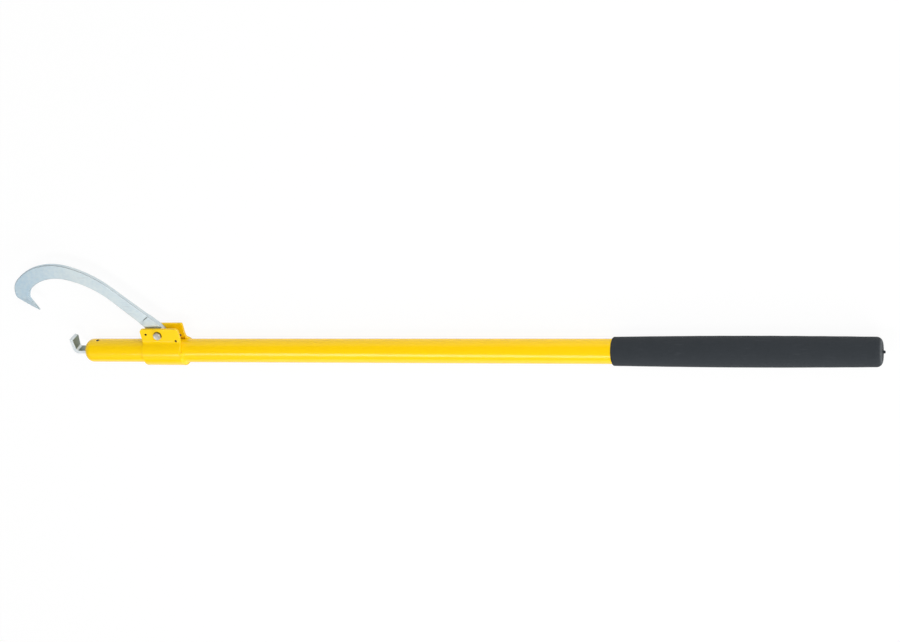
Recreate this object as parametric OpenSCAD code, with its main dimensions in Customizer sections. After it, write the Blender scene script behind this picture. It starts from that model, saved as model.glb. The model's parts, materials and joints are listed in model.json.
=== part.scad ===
// Cant hook: a tubular steel lever with a swinging log hook and a fixed toe.
// It lies on its side. X runs along the handle, with the head at -X and the grip at +X.
// The hook opens towards +Y, and the pivot axis is along Z. Millimetres.

/* [Handle] */
// Outer diameter of the steel tube
tube_d = 32; // [30:0.5:36]
// Wall of the steel tube
tube_wall = 2; // [1.5:0.25:3]
// Handle length from the nose tip to the grip's end face
handle_len = 1082; // [900:1:1400]
// Distance from the nose tip to the hook's pivot
nose_to_pivot = 124.6; // [110:0.1:140]

/* [Grip] */
// Length of the foam grip
grip_len = 332; // [250:1:380]
// Grip diameter at its two ends
grip_d_end = 36.6; // [36:0.1:42]
// Extra diameter at the middle of the barrel
grip_swell = 2.4; // [0:0.1:4]
// Foam thickness over the tube's end
grip_cap_t = 8; // [6:0.5:12]
// Corner radius of the closed end
grip_cap_r = 7.5; // [4:0.5:10]
// Height of the moulding pip on the closed end
pip_h = 1.8; // [1:0.1:3]
// Diameter of the moulding pip
pip_d = 4; // [3:0.5:6]

/* [Bracket] */
// Thickness of the folded strap
strap_t = 4; // [3:0.5:5]
// Length of the strap along the tube
bracket_len = 57.5; // [50:0.5:70]
// Distance from the pivot to the strap's front edge
bracket_front = 26.2; // [24:0.1:30]
// Gap between the ears
ear_gap = 11.6; // [11:0.1:14]
// Height of the ears' top edge above the tube's axis
ear_top = 38.6; // [38:0.1:42]
// Height of the pivot above the tube's axis
pivot_h = 29.5; // [29.3:0.1:31]
// Corner radius of the near ear
ear_r = 4.5; // [3:0.5:6]
// Corner radius of the far ear
far_ear_r = 2; // [1:0.5:6]
// Diameter of the two small stop-pin holes in each ear
ear_hole_d = 3; // [2:0.1:3]
// Height of the weld beads on the tube
weld_leg = 3.6; // [2.5:0.1:3.8]
// Length along the tube of the weld bead behind the ears
weld_run = 6.5; // [3:0.1:8]

/* [Hook] */
// Thickness of the hook's arm
hook_t = 5.2; // [5:0.1:6]
// Thickness at the raised cheeks beside the eye
cheek_t = 7; // [6.4:0.1:8]
// Length of the raised cheeks from the pivot
cheek_len = 27.5; // [22:0.5:36]
// Thickness left at the ground point
point_t = 2.2; // [1.5:0.1:3]
// Radius of the eye's outside
eye_r = 9; // [8.8:0.1:10]

/* [Toe] */
// Width of the toe's flat bar
toe_w = 14.2; // [12:0.1:18]
// Thickness of the toe's flat bar
toe_t = 4.8; // [4:0.1:5.5]
// Distance from the nose tip to the lip's outer face
toe_out = 15.2; // [13:0.1:20]
// Height of the lip's edge above the tube's axis
lip_top = 21.5; // [18:0.1:24]

/* [Hidden] */
$fn = 96;

// Clearances: close fits within one body, the running fit of the eye, and the hook's side play
fit = 0.05;
running = 0.05;
side_play = 0.3;
past = 1;

tube_r = tube_d / 2;
strap_r = tube_r + fit + strap_t;

// Hook outline, seen along the pivot axis with the pivot at the origin. Each edge leaves the eye as a
// straight line at a given offset and heading, then turns through tangent arcs of [radius, degrees].
outer_heading = 136.2;
outer_offset = 11;
outer_line = 89;
outer_arcs = [[143, 26.5], [84, 60.5], [28, 59]];
inner_heading = 134;
inner_offset = 8.6;
inner_line = 75.7;
inner_arcs = [[127.5, 32.3], [64.8, 51.2], [26, 45]];
beak_heading = 319;
beak_arc = [230, 9];
heel_run = 6.2;
arc_steps = 10;

function ray(h) = [cos(h), sin(h)];
function arc(p, h, r, a) =
    [for (k = [1:arc_steps])
        let (turned = h + a * k / arc_steps)
        p + r * [sin(turned) - sin(h), cos(h) - cos(turned)]];
function arcs(p, h, list, i = 0) =
    i == len(list) ? [] :
    let (run = arc(p, h, list[i][0], list[i][1]))
    concat(run, arcs(run[arc_steps - 1], h + list[i][1], list, i + 1));
function edge(offset, h, line, list) =
    let (turn = offset * [sin(h), -cos(h)] + line * ray(h))
    concat([turn], arcs(turn, h, list));
function backwards(list) = [for (i = [len(list) - 1:-1:0]) list[i]];

hook_outer = edge(outer_offset, outer_heading, outer_line, outer_arcs);
hook_inner = edge(-inner_offset, inner_heading, inner_line, inner_arcs);

// The beak's belly is one more arc from the root of the beak to the point, after a corner
beak_root = hook_outer[len(hook_outer) - 1];
beak_kink = hook_inner[len(hook_inner) - 1];
hook_belly = arc(beak_root, beak_heading, beak_arc[0], beak_arc[1]);
point_tip = hook_belly[arc_steps - 1];

// The outer line starts at the heel, and a line from there runs tangent to the eye
heel = outer_offset * [sin(outer_heading), -cos(outer_heading)] + heel_run * ray(outer_heading);
eye_from = inner_heading + asin(inner_offset / eye_r);
eye_to = 360 + atan2(heel.y, heel.x) - acos(eye_r / norm(heel));
eye_steps = 14;
hook_eye = [for (k = [0:eye_steps]) eye_r * ray(eye_from + (eye_to - eye_from) * k / eye_steps)];
hook_outline = concat(hook_eye, [heel], hook_outer, hook_belly, backwards(hook_inner));
hook_reach = -min([for (p = hook_outline) p.x]);
hook_rise = max([for (p = hook_outline) p.y]);

// The origin is under the middle of the whole object, on the surface it lies on
grip_end = handle_len - nose_to_pivot;
pivot_x = (hook_reach - grip_end - pip_h) / 2;
axis_y = (strap_r - pivot_h - hook_rise) / 2;
axis_z = strap_r;
nose_x = pivot_x - nose_to_pivot;
tube_x = nose_x + tube_r;
end_x = pivot_x + grip_end;

// Head
plug_len = 34;
slot_play = 0.1;
toe_tang = 42;
toe_bend_r = 8;
toe_bend_steps = 10;
toe_rise = 1.2;
lip_lean = 5;
lip_bevel = 2.3;
pin_r = 1.5;
pin_bore_r = 0.9;
pin_slit = 0.5;
pin_recess = 0.8;
pin_x = nose_x + 24.3;

// Bracket: the strap's reverse bend, between the wrap and the ear, and the weld beads' spans in degrees
bend_r = 2;
seam = 0.05;
ear_t = strap_t - 2 * seam;
ear_out = ear_gap / 2 + ear_t;
bend_z = ear_out + bend_r;
bend_c = [sqrt(pow(strap_r - seam + bend_r, 2) - pow(bend_z, 2)), bend_z];
bend_a = atan2(bend_c.y, bend_c.x);
bend_steps = 8;
function fold(r) = [for (k = [0:bend_steps]) bend_c - r * ray(bend_a + (90 - bend_a) * k / bend_steps)];

// Half angle of the wrap's opening, and where the ears' strips start inside the wrap's wall
wrap_open = bend_a + 2;
strip_root = bend_a + 6;
ear_strip = concat([(strap_r - seam) * ray(strip_root)], fold(bend_r),
                   [[ear_top, ear_out], [ear_top, ear_gap / 2]],
                   backwards(fold(bend_r + ear_t)), [(strap_r - seam - ear_t) * ray(strip_root)]);
front_hole = [-18.1, 1.2];
rear_hole = [24.7, -8.8];
weld_near = [68, 158];
weld_top = [-110, 30];
weld_front = [-150, -60];
weld_fit = 0.01;

// Pivot stack, from the nut side to the head side
bolt_d = 6;
bolt_hole_r = 3.2;
bolt_len = 28;
bolt_af = 10;
bolt_head_h = 4;
bolt_chamfer = 0.9;
bush_r = 5;
bush_bore_r = 3.1;
spacer_t = (ear_gap - cheek_t) / 2 - side_play;
spacer_r = 7.5;
washer_r = 6;
washer_t = 1.6;
nut_h = 4;
collar_h = 2;
collar_r = 4.5;
insert_r = 3.8;
insert_h = 1.6;
thread_fit = 0.02;

yellow = "#f5c400";
zinc = "#b9c4cc";
black = "#26282b";
nylon = "#e8e6dc";

// Round bar along X from x0 to x1, about the tube's axis
module along(r, x0, x1) {
    translate([x0, axis_y, axis_z]) rotate([0, 90, 0]) cylinder(r = r, h = x1 - x0);
}

// Round bar along Z from z0 to z1 about the pivot, with heights from the tube's axis
module about_pivot(r, z0, z1) {
    translate([pivot_x, axis_y + pivot_h, axis_z + z0]) cylinder(r = r, h = z1 - z0);
}

// Turns a profile of [radius, x] about the tube's axis
module spun() {
    translate([0, axis_y, axis_z]) rotate([0, 90, 0]) rotate_extrude() children();
}

// Hexagon with a chamfered free end: its seat is at z0 and it grows towards up = 1 or -1
module hexagon(z0, h, up) {
    corner_r = bolt_af / 2 / cos(30);
    translate([pivot_x, axis_y + pivot_h, axis_z + z0]) mirror([0, 0, up > 0 ? 0 : 1])
        intersection() {
            rotate(30) cylinder(r = corner_r, h = h, $fn = 6);
            rotate_extrude() polygon([[0, 0], [corner_r + past, 0], [corner_r + past, h - bolt_chamfer],
                                      [corner_r - bolt_chamfer, h], [0, h]]);
        }
}

// The hole of the toe pin, square to the toe's flat
module pin_hole() {
    translate([pin_x, axis_y, axis_z]) rotate([90, 0, 0])
        cylinder(r = pin_r + fit / 2, h = tube_d + 2 * past, center = true);
}

module handle_tube() {
    color(yellow) difference() {
        along(tube_r, tube_x, end_x - grip_cap_t);
        along(tube_r - tube_wall, tube_x - past, end_x);
        pin_hole();
    }
}

module nose_plug() {
    spigot_r = tube_r - tube_wall - fit;
    color(yellow) difference() {
        union() {
            intersection() {
                translate([tube_x, axis_y, axis_z]) rotate([0, 90, 0]) sphere(r = tube_r);
                along(tube_d, nose_x - past, tube_x);
            }
            along(spigot_r, tube_x, tube_x + plug_len);
        }
        translate([nose_x - past, axis_y + toe_rise - toe_t / 2 - slot_play, axis_z - toe_w / 2 - slot_play])
            cube([tube_r + plug_len + 2 * past, toe_t + 2 * slot_play, toe_w + 2 * slot_play]);
        pin_hole();
    }
}

// Side outline of the toe: tang, bend of constant thickness, leaning lip, and an edge ground on the tube's side
module toe_side() {
    low = toe_rise - toe_t / 2;
    edge_out = [nose_x - toe_out, lip_top];
    edge_in = edge_out + toe_t * ray(lip_lean) - lip_bevel * ray(90 + lip_lean);
    centre_y = low + toe_bend_r;
    centre_x = edge_out.x + toe_bend_r / cos(lip_lean) + (lip_top - centre_y) * tan(lip_lean);
    function bend(r) = [for (k = [0:toe_bend_steps])
        [centre_x, centre_y] + r * ray(270 - (90 - lip_lean) * k / toe_bend_steps)];
    polygon(concat([[nose_x + toe_tang, low]], bend(toe_bend_r), [edge_out, edge_in],
                   backwards(bend(toe_bend_r - toe_t)), [[nose_x + toe_tang, low + toe_t]]));
}

module toe_claw() {
    color(zinc) difference() {
        translate([0, axis_y, axis_z - toe_w / 2]) linear_extrude(toe_w) toe_side();
        pin_hole();
    }
}

// Slotted spring pin
module toe_pin() {
    length = tube_d - 2 * pin_recess;
    color(zinc) translate([pin_x, axis_y, axis_z]) rotate([90, 0, 0]) difference() {
        cylinder(r = pin_r, h = length, center = true);
        cylinder(r = pin_bore_r, h = length + past, center = true);
        translate([0, -pin_slit / 2, -length]) cube([tube_r, pin_slit, 2 * length]);
    }
}

// Section of the strap in the plane across the tube: x is the hook's side, y is along the pivot axis.
// The wrap is a ring, and each side's fold and ear are one strip that starts inside the ring's wall.
module strap_section() {
    difference() {
        circle(r = strap_r);
        circle(r = tube_r + fit);
        polygon([[0, 0], 2 * strap_r * ray(wrap_open), [3 * strap_r, 0], 2 * strap_r * ray(-wrap_open)]);
    }
    for (side = [1, -1]) scale([1, side]) polygon(ear_strip);
}

// Weld bead along the strap's end, growing along dir for a run. Its span is two angles round the tube, from +Y
// towards +Z
module weld(x, dir, span, run) {
    translate([x, axis_y, axis_z]) rotate([0, 90, 0]) mirror([0, 0, dir > 0 ? 0 : 1])
        rotate(90 + span[0]) rotate_extrude(angle = span[1] - span[0])
            polygon([[tube_r + weld_fit, 0], [tube_r + weld_leg, 0], [tube_r + weld_fit, run]]);
}

// Rounds one top corner of an ear: x is its edge, dir points along X into the strap, z0 is the cut's lower end
module ear_corner(x, dir, z0, r) {
    translate([x, axis_y + ear_top, axis_z + z0]) mirror([dir > 0 ? 0 : 1, 0, 0])
        linear_extrude(strap_r) difference() {
            translate([-past, -r]) square([r + past, r + past]);
            translate([r, -r]) circle(r = r);
        }
}

module hook_bracket() {
    front = pivot_x - bracket_front;
    rear = front + bracket_len;
    color(yellow) difference() {
        union() {
            translate([front, axis_y, axis_z]) rotate([90, 0, 90]) linear_extrude(bracket_len) strap_section();
            weld(rear, 1, weld_near, weld_leg);
            weld(rear, 1, weld_top, weld_run);
            weld(front, -1, weld_front, weld_leg);
        }
        for (end = [[front, 1], [rear, -1]]) {
            ear_corner(end[0], end[1], 0, ear_r);
            ear_corner(end[0], end[1], -strap_r, far_ear_r);
        }
        about_pivot(bolt_hole_r, -strap_r, strap_r);
        for (hole = [front_hole, rear_hole])
            translate([hole.x, hole.y, 0]) about_pivot(ear_hole_d / 2, -strap_r, strap_r);
    }
}

// Grinds one face of the point: a plane that meets the face on the line across the beak's root, and leaves half
// point_t at the tip
module point_grind() {
    heading = atan2(beak_kink.y - beak_root.y, beak_kink.x - beak_root.x);
    tip = point_tip - beak_root;
    drop = tip.x * sin(heading) - tip.y * cos(heading);
    slope = (hook_t - point_t) / 2 / drop;
    translate([beak_root.x, beak_root.y, 0]) rotate(heading) translate([-past, 0, 0]) rotate([90, 0, 90])
        linear_extrude(norm(tip) + 2 * past)
            polygon([[past, hook_t / 2 + slope * past], [-drop - past, point_t / 2 - slope * past],
                     [-drop - past, cheek_t], [past, cheek_t]]);
}

module swing_hook() {
    color(zinc) translate([pivot_x, axis_y + pivot_h, axis_z]) difference() {
        translate([0, 0, -cheek_t / 2]) linear_extrude(cheek_t) polygon(hook_outline);
        for (side = [0, 1]) mirror([0, 0, side]) {
            rotate(outer_heading) translate([cheek_len, -hook_reach, hook_t / 2])
                cube([2 * hook_reach, 2 * hook_reach, cheek_t]);
            point_grind();
        }
        cylinder(r = bush_r + running, h = 2 * cheek_t, center = true);
    }
}

module pivot_bush() {
    color(zinc) difference() {
        about_pivot(bush_r, -ear_gap / 2, ear_gap / 2);
        about_pivot(bush_bore_r, -ear_gap, ear_gap);
    }
}

module hook_spacers() {
    color(zinc) difference() {
        for (side = [0, 1]) {
            z0 = side == 0 ? -ear_gap / 2 : ear_gap / 2 - spacer_t;
            about_pivot(spacer_r, z0, z0 + spacer_t);
        }
        about_pivot(bush_r + fit, -ear_gap, ear_gap);
    }
}

module pivot_bolt() {
    color(zinc) {
        hexagon(ear_out, bolt_head_h, 1);
        about_pivot(bolt_d / 2, ear_out - bolt_len, ear_out);
    }
}

module nut_washer() {
    color(zinc) difference() {
        about_pivot(washer_r, -ear_out - washer_t, -ear_out);
        about_pivot(bolt_hole_r, -2 * ear_out, 0);
    }
}

// Lock nut: hexagon and the collar that holds its nylon ring
module pivot_nut() {
    seat = -ear_out - washer_t;
    top = seat - nut_h - collar_h;
    color(zinc) difference() {
        union() {
            hexagon(seat, nut_h, -1);
            about_pivot(collar_r, top, seat - nut_h / 2);
        }
        about_pivot(bolt_d / 2 + thread_fit, top - past, seat + past);
        about_pivot(insert_r, top - past, top + insert_h);
    }
}

module nut_insert() {
    top = -ear_out - washer_t - nut_h - collar_h;
    color(nylon) difference() {
        about_pivot(insert_r, top, top + insert_h);
        about_pivot(bolt_d / 2 + thread_fit, top - past, top + insert_h + past);
    }
}

// Half outline of the grip as [radius, x]: barrel from a sine, rounded closed end with a pip
module grip_half() {
    start = end_x - grip_len;
    lip_r = 2;
    straight = grip_len - grip_cap_r - lip_r;
    barrel_steps = 16;
    pip_taper = 0.8;
    end_r = grip_d_end / 2;
    barrel = [for (k = [0:barrel_steps])
        [end_r + grip_swell / 2 * sin(180 * k / barrel_steps), start + lip_r + straight * k / barrel_steps]];
    lip = [for (a = [0:22.5:67.5]) [end_r - lip_r * (1 - sin(a)), start + lip_r * (1 - cos(a))]];
    cap = [for (a = [15:15:90]) [end_r - grip_cap_r * (1 - cos(a)), end_x - grip_cap_r * (1 - sin(a))]];
    bore_r = tube_r + fit;
    polygon(concat([[bore_r, start]], lip, barrel, cap,
        [[pip_d / 2, end_x], [pip_d / 2 * pip_taper, end_x + pip_h], [0, end_x + pip_h],
         [0, end_x - grip_cap_t], [bore_r, end_x - grip_cap_t]]));
}

module grip() {
    color(black) spun() grip_half();
}

handle_tube();
nose_plug();
toe_claw();
toe_pin();
hook_bracket();
swing_hook();
pivot_bush();
hook_spacers();
pivot_bolt();
nut_washer();
pivot_nut();
nut_insert();
grip();
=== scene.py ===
"""Looks of a cant hook: a painted tubular lever, its plated swinging hook and toe, and a foam grip.

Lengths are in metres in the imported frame. X runs along the handle from the head to the grip, the hook
opens towards +Y, and the pivot axis is along Z. Each new piece is a numpy surface in a CAD node's place.
"""
import json
from math import acos, atan2, cos, hypot, pi, radians, sin, sqrt, tan

import bmesh
import bpy
import numpy as np
from mathutils import Matrix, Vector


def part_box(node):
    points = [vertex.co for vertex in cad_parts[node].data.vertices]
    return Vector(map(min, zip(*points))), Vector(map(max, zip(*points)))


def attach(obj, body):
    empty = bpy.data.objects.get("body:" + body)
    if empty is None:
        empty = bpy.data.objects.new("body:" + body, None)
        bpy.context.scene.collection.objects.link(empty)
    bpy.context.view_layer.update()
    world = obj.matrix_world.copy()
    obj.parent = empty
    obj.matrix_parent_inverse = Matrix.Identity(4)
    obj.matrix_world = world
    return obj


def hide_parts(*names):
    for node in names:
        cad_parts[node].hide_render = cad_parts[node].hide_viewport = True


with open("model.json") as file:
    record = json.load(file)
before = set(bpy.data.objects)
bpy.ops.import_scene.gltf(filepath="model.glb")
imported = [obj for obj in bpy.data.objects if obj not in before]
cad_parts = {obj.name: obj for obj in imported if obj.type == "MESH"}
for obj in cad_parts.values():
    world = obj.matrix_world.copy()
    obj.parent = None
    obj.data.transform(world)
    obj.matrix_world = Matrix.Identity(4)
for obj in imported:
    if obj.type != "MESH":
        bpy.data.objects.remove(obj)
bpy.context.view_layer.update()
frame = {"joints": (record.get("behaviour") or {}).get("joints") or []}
MM = 0.001


def span(node, along):
    """Lowest and highest place of a CAD node along X, Y or Z."""
    low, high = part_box(node)
    index = "XYZ".index(along)
    return low[index], high[index]


def half(node, along):
    """Half of a CAD node's size along X, Y or Z."""
    low, high = span(node, along)
    return (high - low) / 2


# Places that the frame gives. axis is the tube's own, at X = 0, and heights are from it along Y or from the
# pivot along Z
tube_from, tube_to = span("handle_tube", "X")
tube_r = half("handle_tube", "Z")
axis = np.array([0, sum(span("handle_tube", "Y")) / 2, sum(span("handle_tube", "Z")) / 2])
nose_x, plug_to = span("nose_plug", "X")
lip_x, tang_to = span("toe_claw", "X")
toe_low, lip_top = (y - axis[1] for y in span("toe_claw", "Y"))
toe_half_w = half("toe_claw", "Z")
pin_from = span("toe_pin", "Y")[0]
pin_x = sum(span("toe_pin", "X")) / 2
pin_r = half("toe_pin", "Z")
pivot = np.array(frame["joints"][0]["pos_m"])
strap_r = half("hook_bracket", "Z")
ear_top = span("hook_bracket", "Y")[1] - axis[1]
cheek_t = 2 * half("swing_hook", "Z")
bend_x = span("swing_hook", "X")[0]
ear_gap = 2 * half("pivot_bush", "Z")
bush_r = half("pivot_bush", "X")
spacer_r = half("hook_spacers", "X")
washer_r = half("nut_washer", "X")
washer_from, washer_to = (z - pivot[2] for z in span("nut_washer", "Z"))
insert_r = half("nut_insert", "X")
insert_from, insert_to = (z - pivot[2] for z in span("nut_insert", "Z"))
bolt_from, bolt_to = (z - pivot[2] for z in span("pivot_bolt", "Z"))
nut_from, nut_to = (z - pivot[2] for z in span("pivot_nut", "Z"))
grip_from, pip_to = span("grip", "X")

# Sizes inside the pieces
fit = 0.05 * MM
tube_wall = 2 * MM
strap_t = 4 * MM
ear_t = 3.9 * MM
ear_r = 4.5 * MM
far_ear_r = 2 * MM
fold_r = 7 * MM
weld_leg = 3.6 * MM
weld_run = 6.5 * MM
weld_sunk = 0.3 * MM
strap_from = span("hook_bracket", "X")[0] + weld_leg
strap_to = span("hook_bracket", "X")[1] - weld_run
bolt_r = 3 * MM
bolt_hole_r = 3.2 * MM
bush_bore_r = 3.1 * MM
thread_bore_r = 3.02 * MM
bolt_af = 10 * MM
bolt_head_h = 4 * MM
stop_hole_r = 1.5 * MM
front_hole = (-18.1 * MM, 1.2 * MM)
rear_hole = (24.7 * MM, -8.8 * MM)


# Surfaces
def unit(v):
    """Vectors of length one along the last axis."""
    least = 1e-12
    return v / np.maximum(np.linalg.norm(v, axis=-1, keepdims=True), least)


def ray(angle):
    """Unit vectors at the given angles, in radians."""
    return np.stack([np.cos(angle), np.sin(angle)], -1)


def closing(radius, count):
    """Distances from a rounded end that lie closer towards it: r * (1 - cos a)."""
    return radius * (1 - np.cos(np.linspace(0, pi / 2, count)))


def eased(corners, radius, steps=6):
    """Closed outline with every corner turned into an arc: the corner's centre plus a turn from one
    tangent point a to the next b, (sin((1-t)w) a + sin(tw) b) / sin(w)."""
    point = np.array(corners, float)
    back = unit(np.roll(point, 1, 0) - point)
    ahead = unit(np.roll(point, -1, 0) - point)
    bend = np.arccos(np.clip((back * ahead).sum(1, keepdims=True), -1, 1)) / 2
    centre = point + unit(back + ahead) * radius / np.sin(bend)
    start = point + back * radius / np.tan(bend) - centre
    end = point + ahead * radius / np.tan(bend) - centre
    least_turn = 1e-6
    turn = np.maximum(pi - 2 * bend, least_turn)[:, None]
    t = np.linspace(0, 1, steps)[None, :, None]
    arc = (np.sin((1 - t) * turn) * start[:, None] + np.sin(t * turn) * end[:, None]) / np.sin(turn)
    return (centre[:, None] + arc).reshape(-1, 2)


def surface(name, grid, ring=False, capped=False, **masks):
    """Piece from a grid of points [row, column]. Columns close into loops, rows close too on a ring, and
    the first and last loops can take a cap. Poles and seams merge. masks stay on the points for finishes."""
    rows, columns = grid.shape[:2]
    row = np.arange(rows if ring else rows - 1)[:, None]
    column = np.arange(columns)[None, :]
    after = (row + 1) % rows
    beside = (column + 1) % columns
    quads = np.stack([row * columns + column, row * columns + beside,
                      after * columns + beside, after * columns + column], -1).reshape(-1, 4).tolist()
    if capped:
        quads += [list(range(columns))[::-1], list(range((rows - 1) * columns, rows * columns))]
    mesh = bpy.data.meshes.new(name)
    mesh.from_pydata(grid.reshape(-1, 3).tolist(), [], quads)
    for label in ("edge", "hollow"):
        layer = mesh.attributes.new(label, "FLOAT", "POINT")
        layer.data.foreach_set("value", np.broadcast_to(masks.get(label, 0), (rows, columns)).ravel())
    merge_dist = 1e-7
    shape = bmesh.new()
    shape.from_mesh(mesh)
    bmesh.ops.remove_doubles(shape, verts=shape.verts, dist=merge_dist)
    bmesh.ops.recalc_face_normals(shape, faces=shape.faces)
    shape.to_mesh(mesh)
    shape.free()
    piece = bpy.data.objects.new(name, mesh)
    bpy.context.scene.collection.objects.link(piece)
    return piece


def turned(name, profile, along, centre, ring=False, loops=144):
    """Surface of revolution: a profile point (r, h) becomes centre + h * along + r * (cos a, sin a) square
    to it."""
    profile = np.array(profile, float)
    index = "XYZ".index(along)
    angle = np.linspace(0, 2 * pi, loops, endpoint=False)
    grid = np.empty((len(profile), loops, 3))
    grid[..., index] = profile[:, 1, None]
    grid[..., (index + 1) % 3] = profile[:, 0, None] * np.cos(angle)
    grid[..., (index + 2) % 3] = profile[:, 0, None] * np.sin(angle)
    return surface(name, grid + centre, ring=ring)


def ring_piece(name, bore_r, outer_r, from_h, to_h, ease_r, along, centre):
    """Turned ring with eased edges: washer, spacer, bush or tube."""
    section = eased([(bore_r, from_h), (outer_r, from_h), (outer_r, to_h), (bore_r, to_h)], ease_r)
    return turned(name, section, along, centre, ring=True)


def drill(name, radius, reach, along, centre, loops):
    """Round cutter that reaches equally far to both sides of its centre."""
    profile = [(0, -reach), (radius, -reach), (radius, reach), (0, reach)]
    return turned(name, profile, along, centre, loops=loops)


def end_ease(distance, radius):
    """How far a rounded end draws in at a distance from it: r - sqrt(r^2 - (r - d)^2), and 0 beyond r."""
    left = np.clip(radius - distance, 0, radius)
    return radius - np.sqrt(radius ** 2 - left ** 2)


def filled(values, steps, count=14):
    """A section's values with columns put in across its two faces, evenly spaced from one corner to the
    next: first + t * (last - first). Each of the four corners has the given number of steps."""
    t = np.linspace(0, 1, count + 2)[1:-1]
    faces = [(values[:, k - 1:k], values[:, k:k + 1]) for k in (steps, 3 * steps)]
    high, low = (first + t * (last - first) for first, last in faces)
    start, middle, end = np.split(values, [steps, 3 * steps], axis=1)
    return np.concatenate([start, high, middle, low, end], 1)


def bar(name, inner, outer, low, high, edge_r, order, origin,
        draw_in=0.0, hollow=0.0, steps=5, swell=None, skew=None):
    """Bar carried along two edges: station s has a rectangle from inner[s] to outer[s] across and low[s]
    to high[s] in height, drawn in all round by draw_in[s], with corners rounded as
    centre + r * (cos a, sin a). order gives the frame axes of the flat's two directions and of the height.
    The shade share at each station s puts painted shade on the inner face. swell(share across, place)
    gives a growth of the height and a share of painted shade, on faces that then have columns. skew[s]
    moves the low side of a station across the flat, and the rest in proportion."""
    across = unit(outer - inner)
    draw_in = np.broadcast_to(draw_in, len(inner))
    inner = inner + across * draw_in[:, None]
    width = np.linalg.norm(outer - inner, axis=1) - draw_in
    low = np.broadcast_to(low, len(inner)) + draw_in
    high = np.broadcast_to(high, len(inner)) - draw_in
    least_r = 0.02 * MM
    most_r = 0.45 * np.minimum(width, high - low)
    radius = np.clip(edge_r - draw_in, least_r, most_r)[:, None]
    corner = np.repeat(np.arange(4), steps)
    quarter = np.tile(np.linspace(0, pi / 2, steps), 4)
    angle = quarter + corner * pi / 2
    reach = np.where(np.isin(corner, (0, 3)), width[:, None] - radius, radius) + radius * np.cos(angle)
    height = np.where(corner < 2, high[:, None] - radius, low[:, None] + radius) + radius * np.sin(angle)
    # Mask for painted light and shade on rounded edges, strongest at the middle of each corner's arc
    edge_shading = np.broadcast_to(np.sin(2 * quarter), reach.shape)
    # Painted shade on the bar's inner side, by the shade share of each station
    shade = np.broadcast_to(hollow, len(inner))[:, None] * np.clip(-np.cos(angle), 0, 1)
    if swell:
        reach, height, edge_shading, shade = (filled(values, steps) for values in (reach, height, edge_shading, shade))
    flat = inner[:, None] + reach[..., None] * across[:, None]
    if swell:
        growth, shade_dark = swell(reach / width[:, None], flat)
        height = height * growth
        shade = np.maximum(shade, shade_dark)
    if skew is not None:
        flat = flat + skew[:, None] * ((high[:, None] - height) / (high - low)[:, None])[..., None]
    grid = np.empty(height.shape + (3,))
    grid[..., order[0]] = flat[..., 0]
    grid[..., order[1]] = flat[..., 1]
    grid[..., order[2]] = height
    return surface(name, grid + origin, capped=True, edge=edge_shading, hollow=shade)


def cut(piece, *cutters):
    """Takes the cutters' shapes out of a piece for good, and removes the cutters."""
    for cutter in cutters:
        hole = piece.modifiers.new("hole", "BOOLEAN")
        hole.object = cutter
        hole.solver = "EXACT"
    bpy.context.view_layer.update()
    finished = piece.evaluated_get(bpy.context.evaluated_depsgraph_get())
    piece.data = bpy.data.meshes.new_from_object(finished)
    piece.modifiers.clear()
    for cutter in cutters:
        bpy.data.objects.remove(cutter)
    return piece


def dress(piece, finish, body, node):
    """Gives a piece its finish and even shading, and sets it in the frame in place of its CAD node."""
    sharp_from = radians(32)
    piece.data.materials.clear()
    piece.data.materials.append(finish)
    piece.data.shade_smooth()
    piece.data.set_sharp_from_angle(angle=sharp_from)
    shading = piece.modifiers.new("even_shading", "WEIGHTED_NORMAL")
    shading.keep_sharp = True
    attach(piece, body)
    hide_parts(node)
    return piece


# Finishes
def feed(tree, socket, value):
    """Sets a socket to a plain value, or links an output to it."""
    if isinstance(value, bpy.types.NodeSocket):
        tree.links.new(value, socket)
    else:
        socket.default_value = value


def add(tree, kind, props=None, **inputs):
    """Adds a shader node. Each input is a plain value or another node's output."""
    made = tree.nodes.new("ShaderNode" + kind)
    for key, value in (props or {}).items():
        setattr(made, key, value)
    for key, value in inputs.items():
        feed(tree, made.inputs[key.replace("_", " ")], value)
    return made


def combine(tree, operation, first, second):
    """Output of a Math node."""
    made = tree.nodes.new("ShaderNodeMath")
    made.operation = operation
    feed(tree, made.inputs[0], first)
    feed(tree, made.inputs[1], second)
    return made.outputs[0]


def mixed(tree, share, first, second):
    """Colour between two colours."""
    made = tree.nodes.new("ShaderNodeMix")
    made.data_type = "RGBA"
    feed(tree, made.inputs[0], share)
    feed(tree, made.inputs[6], first)
    feed(tree, made.inputs[7], second)
    return made.outputs[2]


def ranged(tree, value, from_low, from_high, to_low, to_high):
    """Value moved from one range to another, and held inside it."""
    made = add(tree, "MapRange", Value=value, From_Min=from_low, From_Max=from_high, To_Min=to_low,
               To_Max=to_high)
    return made.outputs["Result"]


def new_group(name, inputs, output):
    """Empty node group with a vector, some float inputs and one float output."""
    tree = bpy.data.node_groups.new(name, "ShaderNodeTree")
    tree.interface.new_socket(name="Vector", in_out="INPUT", socket_type="NodeSocketVector")
    for label, value in inputs.items():
        socket = tree.interface.new_socket(name=label, in_out="INPUT", socket_type="NodeSocketFloat")
        socket.default_value = value
    tree.interface.new_socket(name=output, in_out="OUTPUT", socket_type="NodeSocketFloat")
    return tree, tree.nodes.new("NodeGroupInput").outputs, tree.nodes.new("NodeGroupOutput").inputs


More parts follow.
